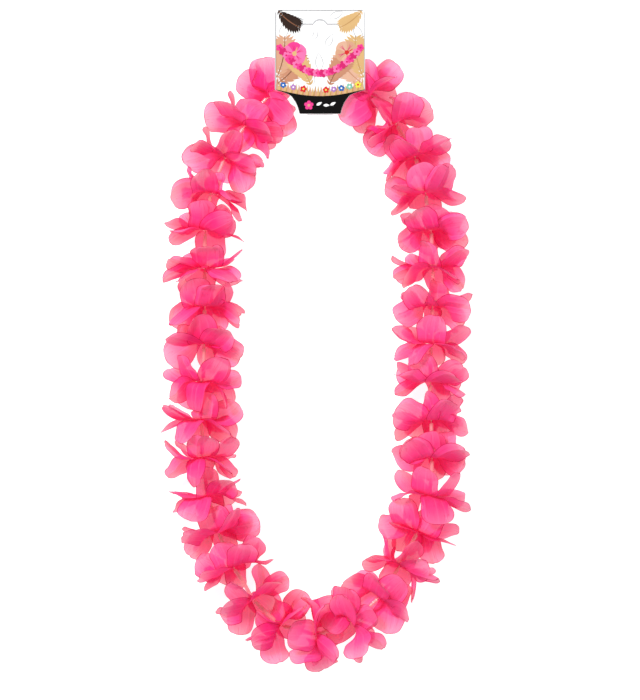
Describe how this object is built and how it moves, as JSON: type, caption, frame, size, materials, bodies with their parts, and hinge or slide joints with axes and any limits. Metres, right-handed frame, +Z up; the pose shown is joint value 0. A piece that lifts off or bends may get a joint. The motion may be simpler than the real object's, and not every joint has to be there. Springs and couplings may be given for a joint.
{
  "type": "flower lei",
  "caption": "Party lei laid flat: fabric flowers and plastic spacer tubes on a closed string, with a folded header card that has a euro slot for hanging.",
  "frame": {"origin": "under the middle of the bounding box, on the surface that the lei lies on", "axes": "+Z up from the surface, +Y along the loop's length towards the header card, +X to the right seen from above with the card away from the viewer"},
  "size_m": [0.2638, 0.564, 0.0542],
  "materials": {
    "petal_fabric": "thin woven synthetic cloth, hot pink, slightly translucent",
    "spacer_plastic": "thin translucent tube, pale peach pink",
    "header_card": "thin coated board, satin"
  },
  "bodies": {
    "root": {"flower_01": "petal_fabric", "flower_02": "petal_fabric", "flower_03": "petal_fabric", "flower_04": "petal_fabric", "flower_05": "petal_fabric", "flower_06": "petal_fabric", "flower_07": "petal_fabric", "flower_08": "petal_fabric", "flower_09": "petal_fabric", "flower_10": "petal_fabric", "flower_11": "petal_fabric", "flower_12": "petal_fabric", "flower_13": "petal_fabric", "flower_14": "petal_fabric", "flower_15": "petal_fabric", "flower_16": "petal_fabric", "flower_17": "petal_fabric", "flower_18": "petal_fabric", "flower_19": "petal_fabric", "flower_20": "petal_fabric", "flower_21": "petal_fabric", "flower_22": "petal_fabric", "flower_23": "petal_fabric", "flower_24": "petal_fabric", "flower_25": "petal_fabric", "flower_26": "petal_fabric", "flower_27": "petal_fabric", "flower_28": "petal_fabric", "flower_29": "petal_fabric", "flower_30": "petal_fabric", "flower_31": "petal_fabric", "flower_32": "petal_fabric", "flower_33": "petal_fabric", "string_with_spacers": "spacer_plastic", "hang_card": "header_card"}
  },
  "joints": []
}
